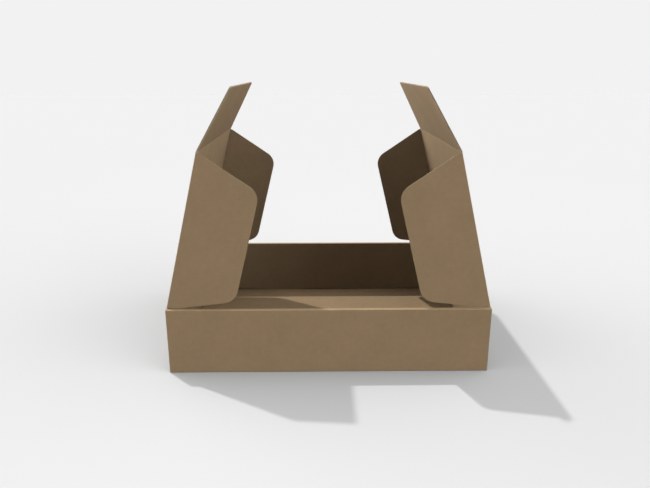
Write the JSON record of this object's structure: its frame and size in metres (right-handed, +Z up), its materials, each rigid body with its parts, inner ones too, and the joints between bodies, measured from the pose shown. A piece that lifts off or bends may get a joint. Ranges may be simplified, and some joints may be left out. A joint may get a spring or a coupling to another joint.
{
  "type": "flip top box",
  "caption": "Kraft corrugated mailer tray with double front and back walls and two opposed hinged lids with dust flaps and tapered tuck flaps.",
  "frame": {"origin": "middle of the tray's underside", "axes": "+X to the right across both lids, +Y to the back, +Z up"},
  "size_m": [0.3, 0.22, 0.2606],
  "materials": {
    "kraft_board": "uncoated brown kraft liner, matt"
  },
  "bodies": {
    "tray": {"tray": "kraft_board"},
    "left_lid": {"left_lid": "kraft_board"},
    "left_front_flap": {"left_front_flap": "kraft_board"},
    "left_back_flap": {"left_back_flap": "kraft_board"},
    "left_tuck_flap": {"left_tuck_flap": "kraft_board"},
    "right_lid": {"right_lid": "kraft_board"},
    "right_front_flap": {"right_front_flap": "kraft_board"},
    "right_back_flap": {"right_back_flap": "kraft_board"},
    "right_tuck_flap": {"right_tuck_flap": "kraft_board"}
  },
  "joints": [
    {"name": "left_lid_hinge", "type": "hinge", "parent": "tray", "child": "left_lid", "pos_m": [-0.1493, 0, 0.063], "axis": [0, -1, 0], "range_deg": [-76.1, 103.9]},
    {"name": "left_front_flap_fold", "type": "hinge", "parent": "left_lid", "child": "left_front_flap", "pos_m": [-0.13148, -0.1045, 0.13503], "axis": [-0.2402, 0, -0.9707], "range_deg": [0, 90]},
    {"name": "left_back_flap_fold", "type": "hinge", "parent": "left_lid", "child": "left_back_flap", "pos_m": [-0.13148, 0.1045, 0.13503], "axis": [0.2402, 0, 0.9707], "range_deg": [0, 90]},
    {"name": "left_tuck_flap_fold", "type": "hinge", "parent": "left_lid", "child": "left_tuck_flap", "pos_m": [-0.11365, 0, 0.20705], "axis": [0, -1, 0], "range_deg": [-75.4, 14.6]},
    {"name": "right_lid_hinge", "type": "hinge", "parent": "tray", "child": "right_lid", "pos_m": [0.1493, 0, 0.063], "axis": [0, 1, 0], "range_deg": [-76.1, 103.9]},
    {"name": "right_front_flap_fold", "type": "hinge", "parent": "right_lid", "child": "right_front_flap", "pos_m": [0.13148, -0.1045, 0.13503], "axis": [-0.2402, 0, 0.9707], "range_deg": [0, 90]},
    {"name": "right_back_flap_fold", "type": "hinge", "parent": "right_lid", "child": "right_back_flap", "pos_m": [0.13148, 0.1045, 0.13503], "axis": [0.2402, 0, -0.9707], "range_deg": [0, 90]},
    {"name": "right_tuck_flap_fold", "type": "hinge", "parent": "right_lid", "child": "right_tuck_flap", "pos_m": [0.11365, 0, 0.20705], "axis": [0, 1, 0], "range_deg": [-75.4, 14.6]}
  ]
}
